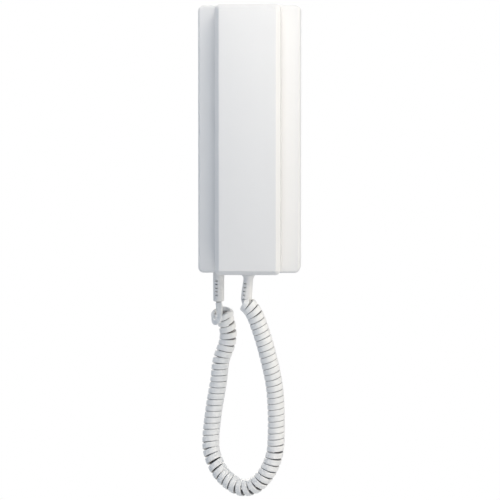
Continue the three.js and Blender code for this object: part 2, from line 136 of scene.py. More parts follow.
# The cord's routes, in metres: the coil's middle line from base to handset, the first loose loop
# that the cord makes below the base's boot, and the handset's boot.
COIL_ROUTE = [
    (-0.0216, -0.0219, -0.1349), (-0.0204, -0.0199, -0.1386), (-0.0186, -0.0174, -0.1446),
    (-0.0172, -0.0158, -0.1526), (-0.0181, -0.015, -0.1614), (-0.0224, -0.0146, -0.1736),
    (-0.0246, -0.014, -0.1893), (-0.0272, -0.0135, -0.2049), (-0.0295, -0.0135, -0.2206),
    (-0.031, -0.014, -0.2362), (-0.0309, -0.0148, -0.2445), (-0.0282, -0.0162, -0.2548),
    (-0.023, -0.018, -0.2642), (-0.0152, -0.0205, -0.2714), (-0.0064, -0.023, -0.2754),
    (0.0022, -0.0255, -0.2742), (0.0102, -0.0278, -0.268), (0.0169, -0.0296, -0.2574),
    (0.0205, -0.0308, -0.2464), (0.0215, -0.0318, -0.2352), (0.0217, -0.033, -0.2195),
    (0.0212, -0.0346, -0.2038), (0.0195, -0.0366, -0.1881), (0.0161, -0.0388, -0.1722),
    (0.0121, -0.041, -0.1565), (0.0075, -0.043, -0.1424), (0.0049, -0.0439, -0.1359),
    (0.0024, -0.04425, -0.132), (-0.00033, -0.0443, -0.1289),
]
LOOP_ROUTE = [
    (-0.0238, -0.0216, -0.1333), (-0.0235, -0.0242, -0.1379), (-0.024, -0.0262, -0.1421),
    (-0.0261, -0.0246, -0.1441), (-0.0286, -0.0196, -0.1417), (-0.0283, -0.0156, -0.1377),
    (-0.0242, -0.0128, -0.1355), (-0.0189, -0.0129, -0.1355), (-0.0153, -0.0149, -0.1373),
]
BOOT_ROUTE = [
    (0.0003, -0.04385, -0.1075), (0.00005, -0.04385, -0.1100), (-0.0004, -0.04385, -0.1149),
    (-0.0009, -0.0439, -0.1198), (-0.0012, -0.04395, -0.1236), (-0.0009, -0.0440, -0.1269),
    (0.0006, -0.0441, -0.1296),
]
COIL_END = (-0.0015, -0.0442, -0.1279)  # the last part turn lies round the end of the handset's boot

CORD_THICKNESS = 3.1
CORD_FILL = 0.97  # the jacket's width as a share of the turns' pitch
COIL_OUTER_RADIUS = 6.8
COIL_RADIUS = COIL_OUTER_RADIUS - CORD_THICKNESS / 2  # to the middle of the jacket
COIL_TURNS = 63.8
COIL_START = 0.4  # in turns: the wound part begins this far along
COIL_STOP = 0.1  # and stops this far before the end
COIL_PHASE = 0.35  # in turns: the side of the coil where it begins
COIL_SAMPLES = 2400
TURN_POINTS = 24
WIDTH_LIMITS = (0.84, 1.04)  # the jacket's width in bends, against its width on a straight stretch
# Where turns stand apart: the place, how much, and over what length of the coil.
GAPS = [
    ((-17.8, -16.4, -147.5), 0.17, 5.0),
    ((-26.8, -16.6, -257.0), 0.24, 5.0),
    ((20.4, -30.6, -247.0), 0.1, 5.5),
]
BASE_BOOT_MOUTH = (-24.5, -19.0, -128.2)
TAIL_BACK = -18.9  # the tail hangs in front of this, and the loop's way back lies behind it
# Below the boot's mouth the cord also gets painted shade, over the neck's spread.
NECK_DROP = 0.6  # the cord is waisted and in shadow this far below the boot's mouth
NECK_SPREAD = 0.55
NECK_WAIST = 0.3  # how much narrower it is there


# ---------------------------------------------------------------------------
# Camera
# ---------------------------------------------------------------------------

def make_camera():
    """A long lens well in front of the phone, a little above it and to its right. Metres."""
    data = bpy.data.cameras.new("camera")
    data.sensor_width = 36
    data.lens = 227
    camera = bpy.data.objects.new("camera", data)
    camera.location = (0.127, -2.5, 0.050)
    aim = Vector((0.00084, -0.030, -0.0869)) - camera.location
    camera.rotation_euler = aim.to_track_quat("-Z", "Y").to_euler()
    data.clip_end = 20
    bpy.context.collection.objects.link(camera)
    bpy.context.scene.camera = camera


make_camera()


# ---------------------------------------------------------------------------
# Mesh helpers
# ---------------------------------------------------------------------------

LEAST_CORNER = 0.05
SMALL_BEVEL = 0.12


def object_from(bm, name):
    """Closes off a bmesh made in millimetres as an object in metres."""
    bmesh.ops.recalc_face_normals(bm, faces=bm.faces)
    mesh = bpy.data.meshes.new(name)
    bm.to_mesh(mesh)
    bm.free()
    mesh.transform(Matrix.Scale(MM, 4))
    made = bpy.data.objects.new(name, mesh)
    bpy.context.collection.objects.link(made)
    return made


def loft(name, rings):
    """A closed body through rings of equally many points, with flat ends."""
    bm = bmesh.new()
    rows = [[bm.verts.new(point) for point in ring] for ring in rings]
    for row, following in zip(rows, rows[1:]):
        for index in range(len(row)):
            after = (index + 1) % len(row)
            bm.faces.new((row[index], row[after], following[after], following[index]))
    bm.faces.new(rows[0])
    bm.faces.new(rows[-1])
    return object_from(bm, name)


def rounded_ring(y, half_width, half_height, corner, centre_z=0.0, centre_x=0.0):
    """A rounded rectangle in the XZ plane at depth y."""
    steps = 8
    corner = max(corner, LEAST_CORNER)
    points = []
    for quarter, (side, level) in enumerate(((1, 1), (-1, 1), (-1, -1), (1, -1))):
        x, z = side * (half_width - corner), level * (half_height - corner)
        for step in range(steps + 1):
            angle = math.radians(90 * (quarter + step / steps))
            points.append((centre_x + x + corner * math.cos(angle), y,
                           centre_z + z + corner * math.sin(angle)))
    return points


def rim_profile(edge, ease):
    """(inset, drop) pairs round a face's rim: a quarter round, or a slope with eased ends."""
    if not ease:
        angles = np.radians(np.linspace(0, 90, 9))
        return [(edge * (1 - math.cos(angle)), edge * (1 - math.sin(angle))) for angle in angles]
    slope = math.radians(45)
    reach = ease * math.tan(slope / 2)
    pairs = []
    for angle in np.linspace(0, slope, 5):
        pairs.append((ease * (1 - math.cos(angle)), edge + reach - ease * math.sin(angle)))
    for angle in np.linspace(slope, 0, 5):
        pairs.append((edge + reach - ease * math.sin(angle), ease * (1 - math.cos(angle))))
    return pairs


def tray(name, half_width, half_height, corner, y_open, y_face, edge, crown=0.0, ease=0.0):
    """A shell open towards y_open, with an eased rim round its face and, if asked, a crowned face."""
    outward = 1 if y_face > y_open else -1
    floor = y_face - outward * WALL
    lip = 0.2
    outer = np.array((half_width, half_height, corner))
    inner = outer - WALL
    rings = [rounded_ring(floor, inner[0] - 1, inner[1] - 1, inner[2])]
    rings.append(rounded_ring(floor - outward, *inner))
    rings.append(rounded_ring(y_open + outward * lip, *inner))
    rings.append(rounded_ring(y_open, *(inner + lip)))
    rings.append(rounded_ring(y_open, *(outer - lip)))
    rings.append(rounded_ring(y_open + outward * lip, *outer))
    for inset, drop in rim_profile(edge, ease):
        y = y_face - outward * (drop + crown)
        rings.append(rounded_ring(y, half_width - inset, half_height - inset, corner - inset))
    if crown:
        reach = half_width - edge
        for share in (0.12, 0.25, 0.4, 0.55, 0.7, 0.85, 0.95):
            inset = edge + share * reach
            y = y_face - outward * crown * (1 - share) ** 2
            rings.append(rounded_ring(y, half_width - inset, half_height - inset, LEAST_CORNER))
    return loft(name, rings)


def cup_ring(y, grow, centre, lip=0.0):
    """The outline of the ear and mouth cups at depth y, grown by the clearance of their wells."""
    along = (y - HANDSET_REAR) / CUP_DEPTH
    half_width = CUP_HALF_WIDTH - CUP_SIDE_SLOPE * along + grow
    low = centre - CUP_HALF_HEIGHT + CUP_LOWER_SLOPE * along - grow
    high = centre + CUP_HALF_HEIGHT - CUP_UPPER_SLOPE * along + grow
    corner = max(2, CUP_CORNER + grow) + lip
    return rounded_ring(y, half_width + lip, (high - low) / 2 + lip, corner, (high + low) / 2)


def cup_body(name, y_start, y_end, grow, centre, start_lip=0.0, end_round=0.0):
    """A cup or a well's cutter, flared by a small lip at its start and rounded at its end."""
    rings = []
    if start_lip:
        for step in range(6):
            angle = math.radians(90 * step / 5)
            lip = start_lip * (1 - math.sin(angle))
            y = y_start + start_lip * (1 - math.cos(angle))
            rings.append(cup_ring(y, grow, centre, lip))
        rings.insert(0, cup_ring(y_start - 1, grow, centre, start_lip))
    else:
        rings.append(cup_ring(y_start, grow, centre))
    if end_round:
        for step in range(6):
            angle = math.radians(90 * step / 5)
            inset = end_round * (1 - math.cos(angle))
            y = y_end - end_round * (1 - math.sin(angle))
            rings.append(cup_ring(y, grow, centre, -inset))
    else:
        rings.append(cup_ring(y_end, grow, centre))
    return loft(name, rings)


def block(name, low, high):
    """A box between its lowest and highest corners, to cut or join with."""
    bm = bmesh.new()
    bmesh.ops.create_cube(bm, size=1)
    size = np.array(high, float) - np.array(low, float)
    centre = (np.array(high, float) + np.array(low, float)) / 2
    for vert in bm.verts:
        vert.co = Vector(centre + np.array(vert.co) * size)
    return object_from(bm, name)


def turned(name, profile, place, axis="Y", sides=32):
    """A body of revolution: (radius, height) pairs from one end to the other, along Y or Z."""
    rings = []
    for radius, height in profile:
        ring = []
        for side in range(sides):
            angle = 2 * math.pi * side / sides
            across, up = max(radius, 0.01) * math.cos(angle), max(radius, 0.01) * math.sin(angle)
            offset = (across, height, up) if axis == "Y" else (across, up, height)
            ring.append(tuple(np.array(place, float) + np.array(offset)))
        rings.append(ring)
    return loft(name, rings)


def combine(target, tools, operation):
    """Joins tools to target or cuts them out of it, and removes the tools."""
    for tool in tools:
        modifier = target.modifiers.new("boolean", "BOOLEAN")
        modifier.operation = operation
        modifier.solver = "EXACT"
        modifier.object = tool
    depsgraph = bpy.context.evaluated_depsgraph_get()
    result = bpy.data.meshes.new_from_object(target.evaluated_get(depsgraph))
    target.modifiers.clear()
    old = target.data
    target.data = result
    bpy.data.meshes.remove(old)
    for tool in tools:
        bpy.data.meshes.remove(tool.data)
    return target


def finish_surface(piece, angle=40, bevel=0.0):
    """Smooth shading that keeps edges sharper than the angle sharp and flat faces flat."""
    if bevel:
        modifier = piece.modifiers.new("edge", "BEVEL")
        modifier.width = bevel * MM
        modifier.segments = 2
        modifier.limit_method = "ANGLE"
        modifier.angle_limit = math.radians(50)
    piece.data.polygons.foreach_set("use_smooth", [True] * len(piece.data.polygons))
    piece.data.set_sharp_from_angle(angle=math.radians(angle))
    weighted = piece.modifiers.new("weighted normals", "WEIGHTED_NORMAL")
    weighted.keep_sharp = True
    return piece


# ---------------------------------------------------------------------------
# Materials
# ---------------------------------------------------------------------------

class Shader:
    """A Principled material with a few shorthands for its procedural inputs."""

    def __init__(self, name, roughness=0.4, metallic=0.0):
        self.material = bpy.data.materials.new(name)
        self.material.use_nodes = True
        self.tree = self.material.node_tree
        self.bsdf = self.tree.nodes["Principled BSDF"]
        self.bsdf.inputs["Roughness"].default_value = roughness
        self.bsdf.inputs["Metallic"].default_value = metallic
        self.place = self.tree.nodes.new("ShaderNodeTexCoord").outputs["Object"]

    def node(self, kind, **inputs):
        made = self.tree.nodes.new(kind)
        for key, value in inputs.items():
            if isinstance(value, bpy.types.NodeSocket):
                self.tree.links.new(value, made.inputs[key])
            else:
                made.inputs[key].default_value = value
        return made

    def stretched(self, scale):
        mapping = self.node("ShaderNodeMapping", Vector=self.place)
        mapping.inputs["Scale"].default_value = scale
        return mapping.outputs["Vector"]

    def noise(self, scale, detail=4.0, roughness=0.55, vector=None):
        made = self.node("ShaderNodeTexNoise", Vector=vector or self.place, Scale=scale,
                         Detail=detail, Roughness=roughness)
        return made.outputs["Fac"]

    def ramp(self, factor, *stops):
        made = self.node("ShaderNodeValToRGB", Fac=factor)
        elements = made.color_ramp.elements
        for index, (position, colour) in enumerate(stops):
            element = elements[index] if index < len(elements) else elements.new(position)
            element.position = position
            element.color = (*colour, 1)
        return made.outputs["Color"]

    def spread(self, factor, low, high):
        """A noise's usual range, 0.3 to 0.7, stretched to low to high."""
        made = self.node("ShaderNodeMapRange", Value=factor)
        made.inputs["From Min"].default_value = 0.3
        made.inputs["From Max"].default_value = 0.7
        made.inputs["To Min"].default_value = low
        made.inputs["To Max"].default_value = high
        return made.outputs["Result"]

    def colour(self, socket):
        self.tree.links.new(socket, self.bsdf.inputs["Base Color"])

    def roughness(self, socket):
        self.tree.links.new(socket, self.bsdf.inputs["Roughness"])

    def bump(self, *heights):
        """heights: (socket, depth in millimetres) pairs, laid over each other."""
        normal = None
        for socket, depth in heights:
            made = self.node("ShaderNodeBump", Height=socket)
            made.inputs["Distance"].default_value = depth * MM
            if normal:
                self.tree.links.new(normal, made.inputs["Normal"])
            normal = made.outputs["Normal"]
        self.tree.links.new(normal, self.bsdf.inputs["Normal"])

    def coat(self):
        """The faint second gloss of moulded plastic."""
        self.bsdf.inputs["Coat Weight"].default_value = 0.15
        self.bsdf.inputs["Coat Roughness"].default_value = 0.2


def plastic(name, light, dark, rough=(0.3, 0.42), grain=1400, grain_depth=0.012, wave_depth=0.05):
    """Moulded plastic: slow drifts of tint, a fine mould grain and a faint unevenness of the surface."""
    shader = Shader(name)
    shader.colour(shader.ramp(shader.noise(14, 3), (0.3, dark), (0.7, light)))
    shader.roughness(shader.spread(shader.noise(60, 5), *rough))
    shader.bump((shader.noise(22, 2), wave_depth), (shader.noise(grain, 2), grain_depth))
    shader.coat()
    return shader.material


def jacket(name, light, dark, shade):
    """The cord's plastic, with painted shade down the sides and inside of its flat jacket."""
    shader = Shader(name)
    tint = shader.ramp(shader.noise(14, 3), (0.3, dark), (0.7, light))
    # Painted shade: an attribute on the cord's points mixes the colour towards the shade colour.
    painted_crease_shade = shader.tree.nodes.new("ShaderNodeAttribute")
    painted_crease_shade.attribute_name = "painted_crease_shade"
    mixed = shader.node("ShaderNodeMix")
    mixed.data_type = "RGBA"
    shader.tree.links.new(painted_crease_shade.outputs["Fac"], mixed.inputs["Factor"])
    shader.tree.links.new(tint, mixed.inputs["A"])
    mixed.inputs["B"].default_value = (*shade, 1)
    shader.colour(mixed.outputs["Result"])
    shader.roughness(shader.spread(shader.noise(60, 5), 0.32, 0.44))
    shader.bump((shader.noise(22, 2), 0.03), (shader.noise(1800, 2), 0.01))
    shader.coat()
    return shader.material


def metal(name, light, dark, rough, stretch):
    """Plated metal with brushing along one axis and a spangle of lighter and darker grains."""
    shader = Shader(name, metallic=1.0)
    brushed = shader.noise(90, 4, vector=shader.stretched(stretch))
    cells = shader.node("ShaderNodeTexVoronoi", Vector=shader.place, Scale=420.0)
    grains = shader.node("ShaderNodeRGBToBW", Color=cells.outputs["Color"])
    tone = shader.ramp(shader.noise(160, 3), (0.3, dark), (0.7, light))
    mixed = shader.node("ShaderNodeMix")
    mixed.data_type = "RGBA"
    mixed.blend_type = "SOFT_LIGHT"
    mixed.inputs["Factor"].default_value = 0.25
    shader.tree.links.new(tone, mixed.inputs["A"])
    shader.tree.links.new(grains.outputs["Val"], mixed.inputs["B"])
    shader.colour(mixed.outputs["Result"])
    shader.roughness(shader.spread(brushed, *rough))
    shader.bump((brushed, 0.01))
    return shader.material


def circuit_board(name):
    """Green solder mask over a grid of copper tracks."""
    shader = Shader(name, roughness=0.35)
    tracks = shader.node("ShaderNodeTexBrick", Vector=shader.stretched((1, 0, 1)), Scale=160.0)
    tracks.inputs["Color1"].default_value = (0.02, 0.14, 0.05, 1)
    tracks.inputs["Color2"].default_value = (0.02, 0.19, 0.07, 1)
    tracks.inputs["Mortar"].default_value = (0.06, 0.3, 0.12, 1)
    shader.colour(tracks.outputs["Color"])
    shader.bump((tracks.outputs["Fac"], 0.05))
    return shader.material


def rubber(name):
    """Dark matt rubber with a fine unevenness."""
    shader = Shader(name)
    dark, light = (0.035, 0.035, 0.038), (0.06, 0.06, 0.062)
    shader.colour(shader.ramp(shader.noise(120, 4), (0.3, dark), (0.7, light)))
    shader.roughness(shader.spread(shader.noise(300, 3), 0.65, 0.85))
    shader.bump((shader.noise(900, 3), 0.03))
    return shader.material


MATERIALS = {
    "shell": plastic("white_abs", (0.845, 0.842, 0.832), (0.825, 0.824, 0.818)),
    "panel": plastic("panel_plastic", (0.72, 0.72, 0.70), (0.68, 0.68, 0.665), (0.45, 0.6), 2200, 0.03),
    "key": plastic("key_plastic", (0.80, 0.80, 0.79), (0.76, 0.76, 0.75), (0.4, 0.52), 2000, 0.02),
    # The cord's last colour is painted shade, laid down the sides and inside of the coil and at the neck.
    "cord": jacket("cord_pvc", (0.90, 0.90, 0.885), (0.87, 0.872, 0.862), (0.13, 0.13, 0.132)),
    "boot": plastic("boot_pvc", (0.84, 0.835, 0.82), (0.79, 0.787, 0.775), (0.4, 0.55), 1600, 0.02, 0.03),
    "dark_plastic": plastic("dark_plastic", (0.035, 0.035, 0.04), (0.02, 0.02, 0.024), (0.4, 0.55), 1600,
                            0.03),
    "rubber": rubber("rubber"),
    "circuit_board": circuit_board("solder_mask"),
    "zinc_steel": metal("zinc_plate", (0.68, 0.70, 0.72), (0.50, 0.52, 0.55), (0.28, 0.45), (1, 1, 0.08)),
    "brass": metal("brass", (0.80, 0.62, 0.28), (0.62, 0.45, 0.18), (0.25, 0.4), (0.1, 1, 1)),
    "ink": plastic("key_ink", (0.05, 0.052, 0.06), (0.03, 0.032, 0.04), (0.5, 0.65), 2400, 0.004),
}


def dress(piece, name):
    """Gives a piece the material of that name, in place of whatever it has."""
    piece.data.materials.clear()
    piece.data.materials.append(MATERIALS[name])
    return piece


def settle(piece, material, body, *nodes, slot=None):
    """Material, body and replaced CAD nodes of a finished piece."""
    dress(piece, material)
    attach(piece, body)
    if nodes:
        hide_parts(*nodes)
    return piece


# ---------------------------------------------------------------------------
# Curly cord
# ---------------------------------------------------------------------------

def spline(points, count):
    """A natural cubic spline through the points, sampled evenly along its length."""
    known = np.array(points, float)
    spans = np.linalg.norm(np.diff(known, axis=0), axis=1)
    knots = np.concatenate([[0], np.cumsum(spans)])
    system, right = np.eye(len(known)), np.zeros((len(known), 3))
    for i in range(1, len(known) - 1):
        system[i, i - 1:i + 2] = spans[i - 1], 2 * (spans[i - 1] + spans[i]), spans[i]
        right[i] = 6 * ((known[i + 1] - known[i]) / spans[i] - (known[i] - known[i - 1]) / spans[i - 1])
    bend = np.linalg.solve(system, right)
    fine = np.linspace(0, knots[-1], 6 * count)
    i = np.clip(np.searchsorted(knots, fine, side="right") - 1, 0, len(spans) - 1)
    h, a, b = spans[i][:, None], (knots[i + 1] - fine)[:, None], (fine - knots[i])[:, None]
    curve = (bend[i] * a ** 3 + bend[i + 1] * b ** 3) / (6 * h)
    curve += (known[i] / h - bend[i] * h / 6) * a + (known[i + 1] / h - bend[i + 1] * h / 6) * b
    along = np.concatenate([[0], np.cumsum(np.linalg.norm(np.diff(curve, axis=0), axis=1))])
    even = np.linspace(0, along[-1], count)
    return np.stack([np.interp(even, along, curve[:, k]) for k in range(3)], 1), along[-1]


def unit(vectors):
    return vectors / np.linalg.norm(vectors, axis=-1, keepdims=True)


def transported(tangents, first):
    """Normals that turn with the curve but don't twist about it."""
    normals = [unit(first - tangents[0] * (first @ tangents[0]))]
    for tangent in tangents[1:]:
        carried = normals[-1] - tangent * (normals[-1] @ tangent)
        normals.append(unit(carried))
    return np.array(normals)


def hermite(start, leave, end, arrive, count):
    """Points of a cubic between two places with the given headings, without its two ends."""
    span = np.linalg.norm(end - start)
    leave, arrive = unit(leave) * span, unit(arrive) * span
    t = np.linspace(0, 1, count + 2)[1:-1, None]
    return ((2 * t ** 3 - 3 * t ** 2 + 1) * start + (t ** 3 - 2 * t ** 2 + t) * leave
            + (3 * t ** 2 - 2 * t ** 3) * end + (t ** 3 - t ** 2) * arrive)


def bell(distance, spread):
    """1 where the distance is zero, falling off smoothly over the spread."""
    return np.exp(-(distance / spread) ** 2)


def turn_density(axis, curvature, reach):
    """How closely the turns lie along the coil, 1 being side by side on a straight stretch."""
    window = 60
    average = np.ones(2 * window + 1) / (2 * window + 1)
    curvature = np.convolve(np.pad(curvature, window, mode="edge"), average, mode="valid")
    loose_start, tight_end = bell(reach, 14), bell(reach[-1] - reach, 12)
    density = (1 - 0.55 * COIL_RADIUS * curvature) * (1 - 0.2 * loose_start + 0.22 * tight_end)
    for place, share, spread in GAPS:
        near = np.argmin(np.linalg.norm(axis - place, axis=1))
        density *= 1 - share * bell(reach - reach[near], spread)
    return density


def wound_part():
    """The coiled part: its middle line, the cord's centreline, outward sides and widths, and the pitch."""
    axis, length = spline(np.array(COIL_ROUTE + [COIL_END]) / MM, COIL_SAMPLES)
    samples = np.arange(COIL_SAMPLES)
    step = length / (COIL_SAMPLES - 1)
    tangents = unit(np.gradient(axis, axis=0))
    bending = np.gradient(tangents, axis=0) / step
    density = turn_density(axis, np.linalg.norm(bending, axis=1), samples * step)
    pitch = density.sum() * step / COIL_TURNS
    turns = np.concatenate([[0], np.cumsum(density[1:] * step / pitch)])
    wanted = np.linspace(COIL_START, turns[-1] - COIL_STOP, int(turns[-1] * TURN_POINTS))
    where = np.interp(wanted, turns, samples)

    def at(values):
        return np.stack([np.interp(where, samples, values[:, k]) for k in range(3)], 1)

    front = transported(tangents, np.array([-0.5, -0.85, 0.0]))
    side = np.cross(tangents, front)
    angle = 2 * math.pi * (wanted[:, None] + COIL_PHASE)
    outward = np.cos(angle) * at(front) + np.sin(angle) * at(side)
    swollen_start = 1 + 0.12 * bell(wanted[:, None], 1.2)
    helix = at(axis) + COIL_RADIUS * swollen_start * outward
    inside = np.sum(at(bending) * outward, axis=1) * COIL_RADIUS
    widths = np.clip((1 - inside) / np.interp(where, samples, density), *WIDTH_LIMITS)
    return axis, helix, outward, widths, pitch


def lead_part(helix, outward, coil_top):
    """The straight tail and the loose loop before the coil: centreline, outward sides and widths."""
    mouth = np.array(BASE_BOOT_MOUTH)
    knots = np.concatenate([[mouth + (0, 0, 5), mouth], np.array(LOOP_ROUTE) / MM, helix[[2, 6, 10]]])
    lead = spline(knots, 400)[0]
    last = np.argmin(np.linalg.norm(lead - helix[2], axis=1))
    lead = lead[:last - 2:4]

    # The jacket faces away from the coil's top, and to the front where it hangs straight.
    outs = lead - coil_top
    outs[:, 2] = 0
    straight = np.clip((lead[:, 2] + 141.0) / 4.0, 0, 1)[:, None] * (lead[:, 1:2] < TAIL_BACK)
    outs = unit(outs) * (1 - straight) + np.array([0.0, -1.0, 0.0]) * straight
    joining = 16
    near = np.clip((np.arange(len(lead)) - len(lead) + joining) / joining, 0, 1)[:, None]
    outs = unit(outs * (1 - near) + outward[2] * near)
    widths = 1.04 + 0.08 * np.clip((lead[:, 2] + 138.0) / 4.0, 0, 1)  # widest below the boot
    return lead, outs, widths


def cord_centreline():
    """The whole cord: centreline, outward sides, widths, how near the neck, and the turns' pitch."""
    axis, helix, outward, widths, pitch = wound_part()
    lead, lead_outs, lead_widths = lead_part(helix, outward, axis[60])
    heading = unit(np.gradient(helix, axis=0))
    mouth = np.array(BOOT_ROUTE[-3]) / MM
    up = unit(np.array(BOOT_ROUTE[-4]) - np.array(BOOT_ROUTE[-3]))
    close = hermite(helix[-1], heading[-1], mouth, up, 12)
    top = np.linspace(mouth, mouth + 8 * up, 6)
    ending = len(close) + len(top)

    line = np.concatenate([lead, helix[2:], close, top])
    faces = np.concatenate([lead_outs, outward[2:], np.tile(outward[-1], (ending, 1))])
    widths = np.concatenate([lead_widths, widths[2:], np.ones(ending)])
    widths = np.convolve(np.pad(widths, 4, mode="edge"), np.ones(9) / 9, mode="valid")
    # How near the neck: the cord is narrowed there, and make_cord gives it painted shade.
    neck = bell(line[:, 2] - BASE_BOOT_MOUTH[2] + NECK_DROP, NECK_SPREAD)
    neck[len(lead):] = 0
    return line, faces, widths * (1 - NECK_WAIST * neck), neck, pitch


def jacket_section(width, thickness):
    """The flat jacket's outline: (along the coil, outward) pairs, with shallow grooves on the outside."""
    radius = 0.3 * thickness
    half, high = width / 2 - radius, thickness / 2 - radius
    outline = []
    for centre, start in ((half, 0), (-half, 90), (-half, 180), (half, 270)):
        level = high if start < 180 else -high
        for step in range(4):
            angle = math.radians(start + 90 * step / 3)
            outline.append((centre + radius * math.cos(angle), level + radius * math.sin(angle)))
        if start == 0:
            for share in np.linspace(1, -1, 13)[1:-1]:
                dip = 0.07 * max(0.0, math.cos(2 * math.pi * 1.5 * share)) if abs(share) < 0.95 else 0
                outline.append((share * half, thickness / 2 - dip))
    return np.array(outline)


def sweep_section(name, line, faces, widths, section):
    """The section carried along the line, outward side following faces, as wide as widths says."""
    headings = unit(np.gradient(line, axis=0))
    outs = unit(faces - headings * np.sum(faces * headings, axis=1, keepdims=True))
    alongs = np.cross(outs, headings)
    rings = [point + section[:, :1] * along * share + section[:, 1:] * out
             for point, along, out, share in zip(line, alongs, outs, widths)]
    return loft(name, [[tuple(point) for point in ring] for ring in rings])


def make_cord():
    """The cord as one body, with painted shade in its grooves and at its neck."""
    line, faces, widths, neck, pitch = cord_centreline()
    width = CORD_FILL * pitch
    section = jacket_section(width, CORD_THICKNESS)
    cord = sweep_section("curly_cord", line, faces, widths, section)
    cord.data.polygons.foreach_set("use_smooth", [True] * len(cord.data.polygons))
    dress(cord, "cord")
    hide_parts("coiled_cord", "cord_tail")
    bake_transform(cord)
    # Both ends of the cord's loop hang at one height. The cord's length is measured along it.
    along = np.concatenate([[0], np.cumsum(np.linalg.norm(np.diff(line, axis=0), axis=1))]) * MM
    # Painted shade down the sides and inside of the coil, but not on the tail, and all round at the neck.
    depth = np.clip((CORD_THICKNESS / 2 - 0.3 - section[:, 1]) / 0.8, 0, 1)
    coiled = np.clip((np.arange(len(line)) - 60) / 50, 0, 1)
    painted_shade_amount = np.outer(coiled, depth) + neck[:, None]
    painted_crease_shade = cord.data.attributes.new("painted_crease_shade", "FLOAT", "POINT")
    painted_crease_shade.data.foreach_set("value", painted_shade_amount.ravel().astype(np.float32))
    return cord, line, along[-1], width


cord, cord_line, cord_length, cord_width = make_cord()


# ---------------------------------------------------------------------------
# Cord boots
# ---------------------------------------------------------------------------

BOOT_GAP = 0.3  # between a boot and the wall that it passes through


def slot_cutters(radius, first, count, pitch, turn, reach, size, depth):
    """Small slots down one side of a sleeve that hangs along Z.

    They are reach degrees wide and size high, and are cut from depth times the radius outwards.
    """
    cutters = []
    half = radius * math.sin(math.radians(reach / 2))
    for index in range(count):
        cutter = block("slot", (depth * radius, -half, -size / 2), (1.4 * radius, half, size / 2))
        spot = Matrix.Translation(Vector((0, 0, first - pitch * index)) * MM)
        cutter.data.transform(spot @ Matrix.Rotation(math.radians(turn), 4, "Z"))
        cutters.append(cutter)
    return cutters


def relief_slots(radius, first, count, pitch, front, reach):
    """Slots front and back, with shallow notches between them, half a pitch lower."""
    cutters = []
    lower = first - pitch / 2
    for turn in (front, front + 180):
        cutters += slot_cutters(radius, first, count, pitch, turn, reach, 0.8, 0.45)
        cutters += slot_cutters(radius, lower, count - 1, pitch, turn + 46, reach - 8, 0.6, 0.9)
    return cutters


def make_base_boot():
    """The base's boot: a straight sleeve below the base, held by a collar inside it."""
    collar = extent("base_cord_boot")[1][2]
    x, y, end = BASE_BOOT_MOUTH
    top, inner = COVER_LOW[2] - BOOT_GAP, COVER_LOW[2] + WALL + BOOT_GAP
    profile = [(2.6, collar - 0.01), (2.6, end + 0.5), (2.9, end), (3.6, end), (4.05, end + 0.3),
               (4.25, end + 0.9), (4.35, end + 2.5), (4.45, top - 0.4), (4.3, top), (3.2, top), (3.2, inner),
               (5.0, inner), (5.0, collar), (2.8, collar)]
    boot = turned("base_boot_sleeve", profile, (0, 0, 0), axis="Z", sides=48)
    combine(boot, relief_slots(4.4, top - 6.6, 5, 2.83, -111, 27), "DIFFERENCE")
    boot.data.transform(Matrix.Translation(Vector((x, y, 0)) * MM))
    return settle(finish_surface(boot, 35, bevel=SMALL_BEVEL), "boot", "base", "base_cord_boot")


def make_handset_boot():
    """The handset's boot leans along its route, and its narrow end bends into the top of the coil."""
    top, inner = FRONT_LOW[2] - BOOT_GAP, FRONT_LOW[2] + WALL + BOOT_GAP
    collar_foot, collar = inner - top, extent("handset_cord_boot")[1][2] - top
    route, length = spline(np.array(BOOT_ROUTE) / MM, 60)
    start = top - route[0][2]
    end = -length - start
    profile = [(2.6, collar), (2.6, end + 0.3), (2.9, end), (3.4, end), (3.65, end + 0.4),
               (3.7, end + 3.0), (4.0, end + 4.4), (4.25, end + 5.6), (4.2, -14.5),
               (4.0, -9.5), (3.75, -5.0), (3.75, -3.6), (4.0, -2.2), (4.6, -1.0), (5.2, -0.4), (5.3, 0.0),
               (3.2, 0.0), (3.2, collar_foot), (5.2, collar_foot), (5.2, collar), (2.8, collar)]
    boot = turned("handset_boot_sleeve", profile, (0, 0, 0), axis="Z", sides=48)
    bm = bmesh.new()
    bm.from_mesh(boot.data)
    for level in np.arange(end + 0.6, -1.9, 1.0):  # rings of edges, so that it can bend
        everything = bm.verts[:] + bm.edges[:] + bm.faces[:]
        bmesh.ops.bisect_plane(bm, geom=everything, plane_co=(0, 0, level * MM), plane_no=(0, 0, 1))
    bm.to_mesh(boot.data)
    bm.free()
    combine(boot, relief_slots(4.1, -7.1, 5, 2.98, -118, 40), "DIFFERENCE")
    tangents = unit(np.gradient(route, axis=0))
    along = np.linspace(0, length, len(route))
    for vert in boot.data.vertices:
        x, y, z = np.array(vert.co) / MM
        below = max(0.0, -z - start)
        spot = np.array([np.interp(below, along, route[:, k]) for k in range(3)])
        heading = unit(np.array([np.interp(below, along, tangents[:, k]) for k in range(3)]))
        spot = spot + heading * max(0.0, below - length)
        across = unit(np.array([1.0, 0, 0]) - heading * heading[0])
        place = spot + across * x + np.cross(across, heading) * y
        if below == 0:
            place = np.array([route[0][0] + x, route[0][1] + y, top + z])
        vert.co = Vector(place * MM)
    return settle(finish_surface(boot, 35, bevel=SMALL_BEVEL), "boot", "handset", "handset_cord_boot")


base_boot = make_base_boot()
make_handset_boot()


# ---------------------------------------------------------------------------
# Base
# ---------------------------------------------------------------------------

